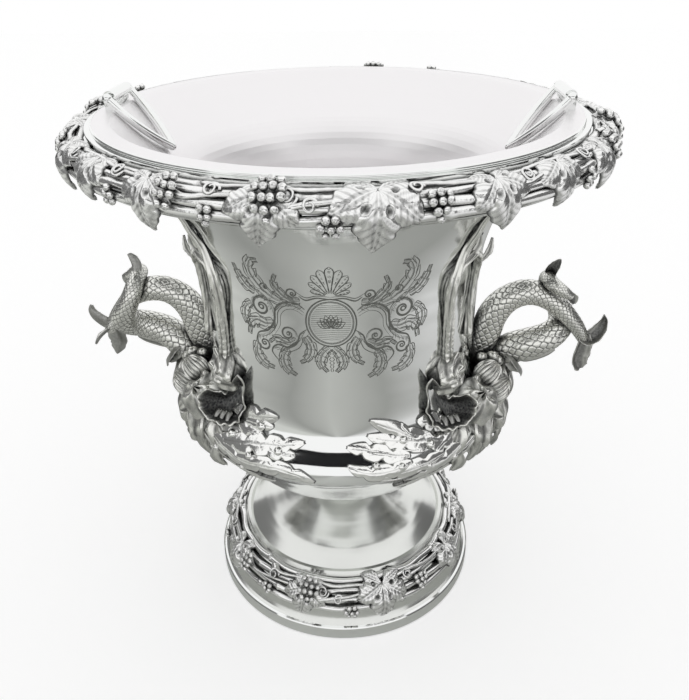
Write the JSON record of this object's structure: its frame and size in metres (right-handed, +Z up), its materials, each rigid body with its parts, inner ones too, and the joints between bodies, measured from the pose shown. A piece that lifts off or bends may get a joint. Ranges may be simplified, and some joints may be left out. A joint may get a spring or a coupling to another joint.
{
  "type": "champagne bucket",
  "caption": "Campana-shaped silver wine cooler on a spreading foot, with vine borders, entwined dolphin handles and a lift-out liner that has two drop handles.",
  "frame": {"origin": "centre of the foot's underside, on the table", "axes": "+Z up along the axis of the vase, handles on the X axis, -Y is the engraved front"},
  "size_m": [0.2996, 0.2666, 0.2989],
  "materials": {
    "polished_silver": "polished sterling silver with fine hairlines",
    "cast_silver": "cast and chased sterling silver, bright on the ridges and dark in the hollows"
  },
  "bodies": {
    "vase": {"foot_rim": "polished_silver", "foot_shell": "polished_silver", "foot_canes": "cast_silver", "foot_leaves": "cast_silver", "foot_grapes": "cast_silver", "foot_tendrils": "cast_silver", "stem_collar": "polished_silver", "body_shell": "polished_silver", "spray_right_front": "cast_silver", "spray_right_back": "cast_silver", "spray_left_front": "cast_silver", "spray_left_back": "cast_silver", "rim_mount": "polished_silver", "rim_canes": "cast_silver", "rim_leaves": "cast_silver", "rim_grapes": "cast_silver", "rim_tendrils": "cast_silver", "boss_right": "cast_silver", "boss_left": "cast_silver", "cup_right_front": "cast_silver", "cup_right_back": "cast_silver", "cup_left_front": "cast_silver", "cup_left_back": "cast_silver", "trunk_right_front": "cast_silver", "trunk_right_back": "cast_silver", "trunk_left_front": "cast_silver", "trunk_left_back": "cast_silver", "dolphin_right_upper": "cast_silver", "dolphin_right_lower": "cast_silver", "dolphin_left_upper": "cast_silver", "dolphin_left_lower": "cast_silver"},
    "liner": {"liner": "polished_silver", "liner_rim_wire": "polished_silver", "hinge_right": "polished_silver", "hinge_left": "polished_silver"},
    "bail_right": {"bail_right": "polished_silver"},
    "bail_left": {"bail_left": "polished_silver"}
  },
  "joints": [
    {"name": "liner_lift", "type": "slide", "parent": "vase", "child": "liner", "axis": [0, 0, 1], "range_m": [0, 0.2]},
    {"name": "bail_right_hinge", "type": "hinge", "parent": "liner", "child": "bail_right", "pos_m": [0.108, 0, 0.296], "axis": [0, 1, 0], "range_deg": [0, 225]},
    {"name": "bail_left_hinge", "type": "hinge", "parent": "liner", "child": "bail_left", "pos_m": [-0.108, 0, 0.296], "axis": [0, -1, 0], "range_deg": [0, 225]}
  ]
}
